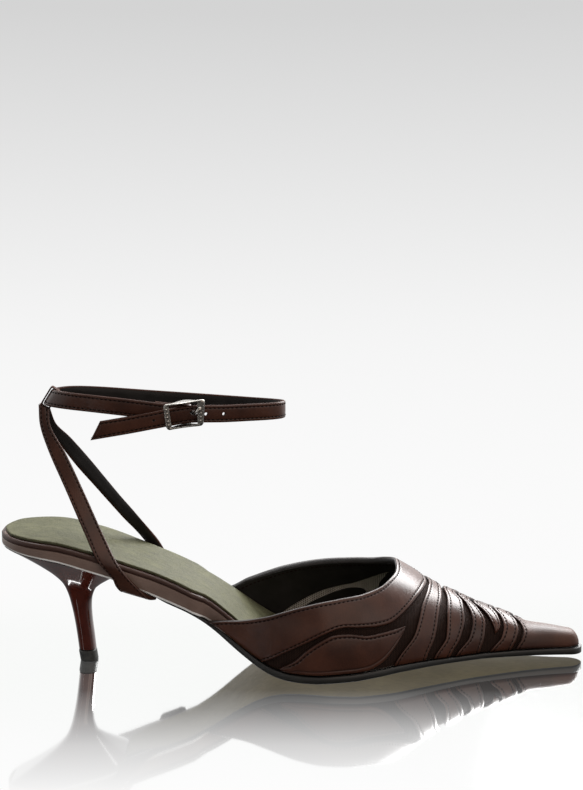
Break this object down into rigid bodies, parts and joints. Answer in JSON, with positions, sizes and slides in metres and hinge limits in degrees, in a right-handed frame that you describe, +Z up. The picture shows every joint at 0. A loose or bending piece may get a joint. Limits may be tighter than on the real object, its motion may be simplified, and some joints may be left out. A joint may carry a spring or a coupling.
{
  "type": "pointed kitten heel ankle strap shoe",
  "caption": "Right shoe with a closed pointed toe of leather strips over dark mesh, an open waist and back, a thin lacquered kitten heel and sling straps that hold a buckled ankle strap.",
  "frame": {"origin": "middle of the shoe's bounding box, at floor level", "axes": "+X towards the toe, +Y towards the inner side of the foot, +Z up"},
  "size_m": [0.2504, 0.077, 0.1199],
  "materials": {
    "brown_leather": "smooth dark reddish-brown leather with a soft gloss",
    "dark_mesh": "matt, very dark brown mesh",
    "insole_leather": "satin brown-grey leather around the platform's edge",
    "olive_lining": "satin olive lining leather",
    "heel_lacquer": "glossy dark oxblood lacquer",
    "heel_rubber": "matt dark grey",
    "sole_board": "satin charcoal edge, plain beige underside",
    "aged_nickel": "worn antique nickel"
  },
  "bodies": {
    "root": {"outsole": "sole_board", "heel": "heel_lacquer", "heel_tip": "heel_rubber", "insole": "insole_leather", "sock": "olive_lining", "vamp": "dark_mesh", "collar": "brown_leather", "leaf_lateral": "brown_leather", "leaf_medial": "brown_leather", "strip_1": "brown_leather", "strip_2": "brown_leather", "strip_3": "brown_leather", "strip_4": "brown_leather", "strip_5": "brown_leather", "toe_cap": "brown_leather", "sling": "brown_leather", "ankle_strap": "brown_leather", "buckle": "aged_nickel", "prong": "aged_nickel"}
  },
  "joints": []
}
